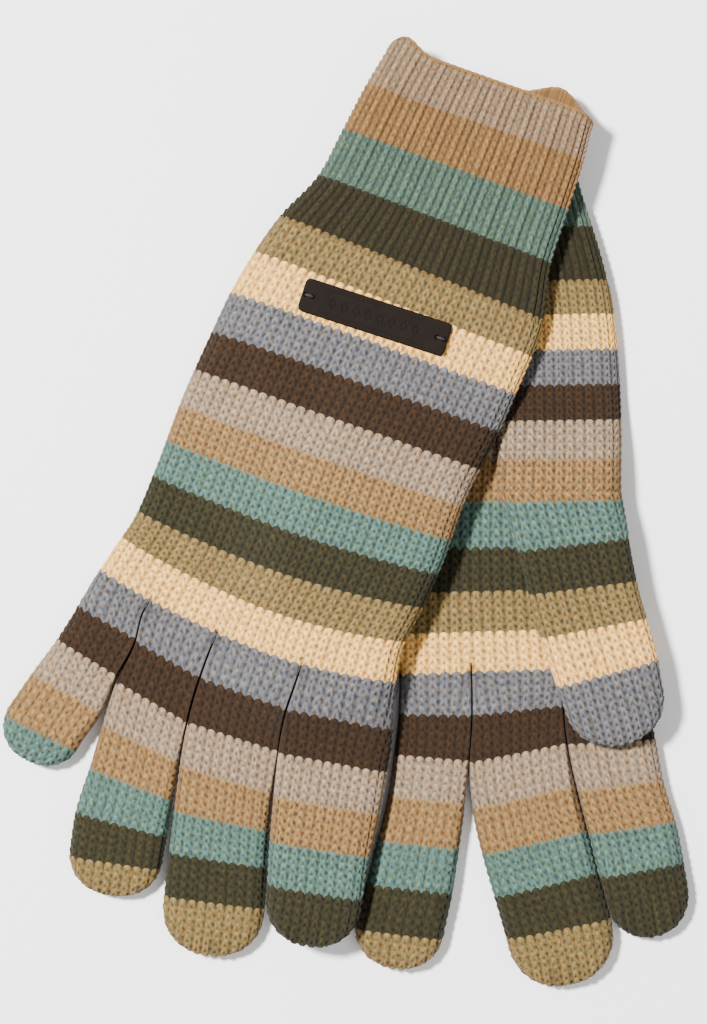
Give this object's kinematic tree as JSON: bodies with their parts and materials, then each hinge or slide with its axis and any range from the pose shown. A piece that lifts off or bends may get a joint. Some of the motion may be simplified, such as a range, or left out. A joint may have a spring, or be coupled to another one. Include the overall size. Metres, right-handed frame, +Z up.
{
  "type": "pair of knitted gloves",
  "caption": "Pair of striped knitted gloves with ribbed cuffs and a leather label, one glove lying across the other; fingers and thumb fold, the top glove lifts off.",
  "frame": {"origin": "centre of the footprint of the lying pair, on the surface that it lies on", "axes": "+Z up from the surface, +Y from the fingertips towards the cuffs, +X to the side where the lower glove's thumb is"},
  "size_m": [0.1891, 0.261, 0.0234],
  "materials": {
    "ribbing": "knitted wool blend",
    "hand_knit": "knitted wool blend",
    "finger_knit": "knitted wool blend",
    "fingertip_knit": "knitted wool blend",
    "thumb_knit": "knitted wool blend",
    "label_leather": "matt dark brown, debossed line pattern",
    "label_thread": "dark sewing thread"
  },
  "bodies": {
    "left_glove": {"left_hand": "hand_knit", "left_palm": "hand_knit", "left_cuff": "ribbing", "left_little": "fingertip_knit", "left_ring_base": "finger_knit", "left_middle_base": "finger_knit", "left_index_base": "finger_knit"},
    "left_thumb": {"left_thumb": "thumb_knit"},
    "left_ring_tip": {"left_ring_tip": "fingertip_knit"},
    "left_middle_tip": {"left_middle_tip": "fingertip_knit"},
    "left_index_tip": {"left_index_tip": "fingertip_knit"},
    "right_glove": {"right_hand": "hand_knit", "right_palm": "hand_knit", "right_thumb": "thumb_knit", "right_little_base": "finger_knit", "right_ring_base": "finger_knit", "right_middle_base": "finger_knit", "right_index_base": "finger_knit", "label": "label_leather", "label_stitches": "label_thread"},
    "right_cuff": {"right_cuff": "ribbing"},
    "right_little_tip": {"right_little_tip": "fingertip_knit"},
    "right_ring_tip": {"right_ring_tip": "fingertip_knit"},
    "right_middle_tip": {"right_middle_tip": "fingertip_knit"},
    "right_index_tip": {"right_index_tip": "fingertip_knit"}
  },
  "joints": [
    {"name": "left_thumb_lift", "type": "hinge", "parent": "left_glove", "child": "left_thumb", "pos_m": [0.0595, 0.0059, 0.0175], "axis": [-1, 0, 0], "range_deg": [0, 110]},
    {"name": "left_ring_bend", "type": "hinge", "parent": "left_glove", "child": "left_ring_tip", "pos_m": [0.02225, -0.0805, 0.00905], "axis": [-0.9926, 0.1215, 0], "range_deg": [0, 90]},
    {"name": "left_middle_bend", "type": "hinge", "parent": "left_glove", "child": "left_middle_tip", "pos_m": [0.0485, -0.073, 0.00905], "axis": [-0.9762, -0.2169, 0], "range_deg": [0, 90]},
    {"name": "left_index_bend", "type": "hinge", "parent": "left_glove", "child": "left_index_tip", "pos_m": [0.07475, -0.071, 0.00905], "axis": [-0.9869, -0.1611, 0], "range_deg": [0, 90]},
    {"name": "right_glove_lift", "type": "slide", "parent": "left_glove", "child": "right_glove", "axis": [0, 0, 1], "range_m": [0, 0.12]},
    {"name": "right_cuff_fold", "type": "hinge", "parent": "right_glove", "child": "right_cuff", "pos_m": [0.0185, 0.0664, 0.01855], "axis": [0.9276, -0.3736, 0], "range_deg": [0, 100]},
    {"name": "right_little_bend", "type": "hinge", "parent": "right_glove", "child": "right_little_tip", "pos_m": [-0.0655, -0.0326, 0.00905], "axis": [-0.8654, 0.501, 0], "range_deg": [0, 90]},
    {"name": "right_ring_bend", "type": "hinge", "parent": "right_glove", "child": "right_ring_tip", "pos_m": [-0.057, -0.0611, 0.0091], "axis": [-0.9676, 0.2524, 0], "range_deg": [0, 90]},
    {"name": "right_middle_bend", "type": "hinge", "parent": "right_glove", "child": "right_middle_tip", "pos_m": [-0.0335, -0.0746, 0.0104], "axis": [-0.9939, 0.1104, 0], "range_deg": [0, 90]},
    {"name": "right_index_bend", "type": "hinge", "parent": "right_glove", "child": "right_index_tip", "pos_m": [-0.005, -0.0746, 0.0185], "axis": [-0.9947, 0.1029, 0], "range_deg": [0, 90]}
  ]
}
